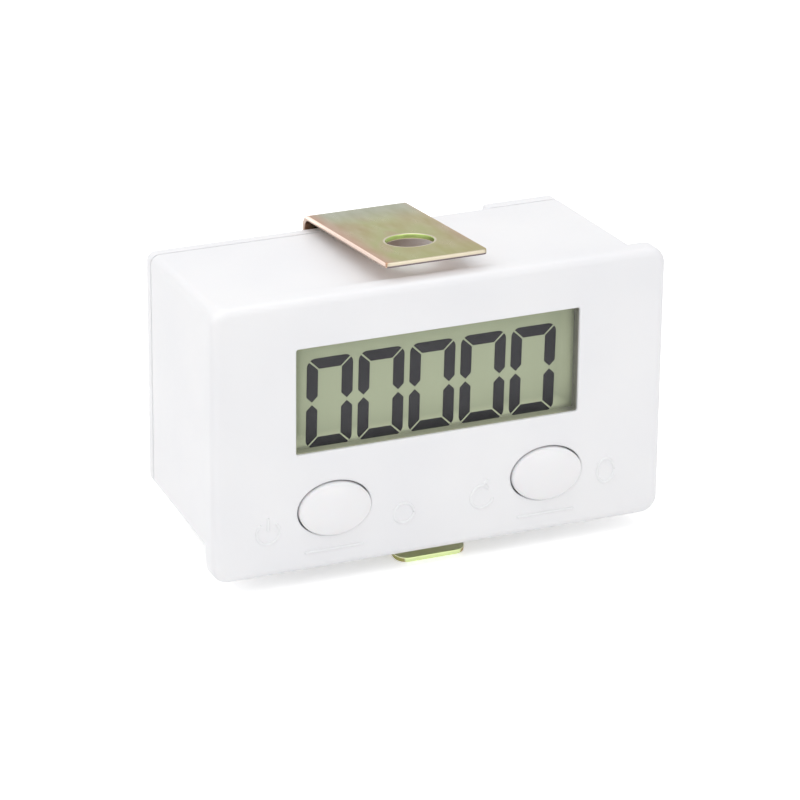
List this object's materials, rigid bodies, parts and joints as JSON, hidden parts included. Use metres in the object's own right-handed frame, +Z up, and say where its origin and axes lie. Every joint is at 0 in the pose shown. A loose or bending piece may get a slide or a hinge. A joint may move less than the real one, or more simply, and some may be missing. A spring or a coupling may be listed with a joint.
{
  "type": "electronic counter",
  "caption": "Panel-mount electronic counter: white flanged housing, grey-green digital display, oval push buttons, U-shaped steel clamp bracket and rear screw terminals.",
  "frame": {"origin": "Centre of the underside of the part's box. The housing stands upright and the lower bracket arm's tip touches z = 0.", "axes": "+X to the right of someone who reads the display, +Y from the display to the back (into the panel), +Z up."},
  "size_m": [0.06, 0.033, 0.0401],
  "materials": {
    "white_housing": "fine satin white moulding",
    "button_cap": "smooth white moulding",
    "window_lens": "clear acrylic",
    "display_glass": "grey-green reflective display",
    "inner_moulding": "plain white moulding",
    "zebra_elastomer": "striped conductive elastomer",
    "circuit_board": "green solder mask",
    "chip_epoxy": "black epoxy blob",
    "metal_can": "tinned can",
    "capacitor_sleeve": "dark blue sleeve",
    "switch_body": "black moulding",
    "yellow_passivated_steel": "yellow passivated zinc, iridescent",
    "plated_screw": "bright zinc plating",
    "nickel_contact": "nickel plating",
    "brass_post": "bare brass"
  },
  "bodies": {
    "counter": {"front_housing": "white_housing", "rear_cover": "white_housing", "terminal_block": "white_housing", "window_lens": "window_lens", "lcd_panel": "display_glass", "lcd_holder": "inner_moulding", "zebra_strip_upper": "zebra_elastomer", "zebra_strip_lower": "zebra_elastomer", "circuit_board": "circuit_board", "controller_chip": "chip_epoxy", "crystal": "metal_can", "capacitor": "capacitor_sleeve", "power_switch": "switch_body", "reset_switch": "switch_body", "battery_cell": "nickel_contact", "battery_tube": "inner_moulding", "battery_spring": "nickel_contact", "battery_side_contact": "nickel_contact", "clamp_nut": "plated_screw", "cover_screw_upper": "plated_screw", "cover_screw_lower": "plated_screw", "board_screw_left": "plated_screw", "board_screw_right": "plated_screw", "terminal_screw_1": "plated_screw", "terminal_screw_2": "plated_screw", "terminal_screw_3": "plated_screw", "terminal_screw_4": "plated_screw", "terminal_post_1": "brass_post", "terminal_post_2": "brass_post", "terminal_post_3": "brass_post", "terminal_post_4": "brass_post"},
    "power_key": {"power_button": "button_cap", "power_plunger": "switch_body"},
    "reset_key": {"reset_button": "button_cap", "reset_plunger": "switch_body"},
    "clamp": {"mounting_bracket": "yellow_passivated_steel", "clamp_screw": "plated_screw"},
    "cap": {"battery_cap": "white_housing"}
  },
  "joints": [
    {"name": "power_press", "type": "slide", "parent": "counter", "child": "power_key", "axis": [0, 1, 0], "range_m": [0, 0.0007], "stiffness_N_per_m": 600, "springref_m": -0.0008},
    {"name": "reset_press", "type": "slide", "parent": "counter", "child": "reset_key", "axis": [0, 1, 0], "range_m": [0, 0.0007], "stiffness_N_per_m": 600, "springref_m": -0.0008},
    {"name": "clamp_slide", "type": "slide", "parent": "counter", "child": "clamp", "axis": [0, 1, 0], "range_m": [0, 0.006]},
    {"name": "battery_cap_twist", "type": "hinge", "parent": "counter", "child": "cap", "pos_m": [-0.0175, 0.01315, 0.02007], "axis": [0, 1, 0], "range_deg": [0, 60]}
  ]
}
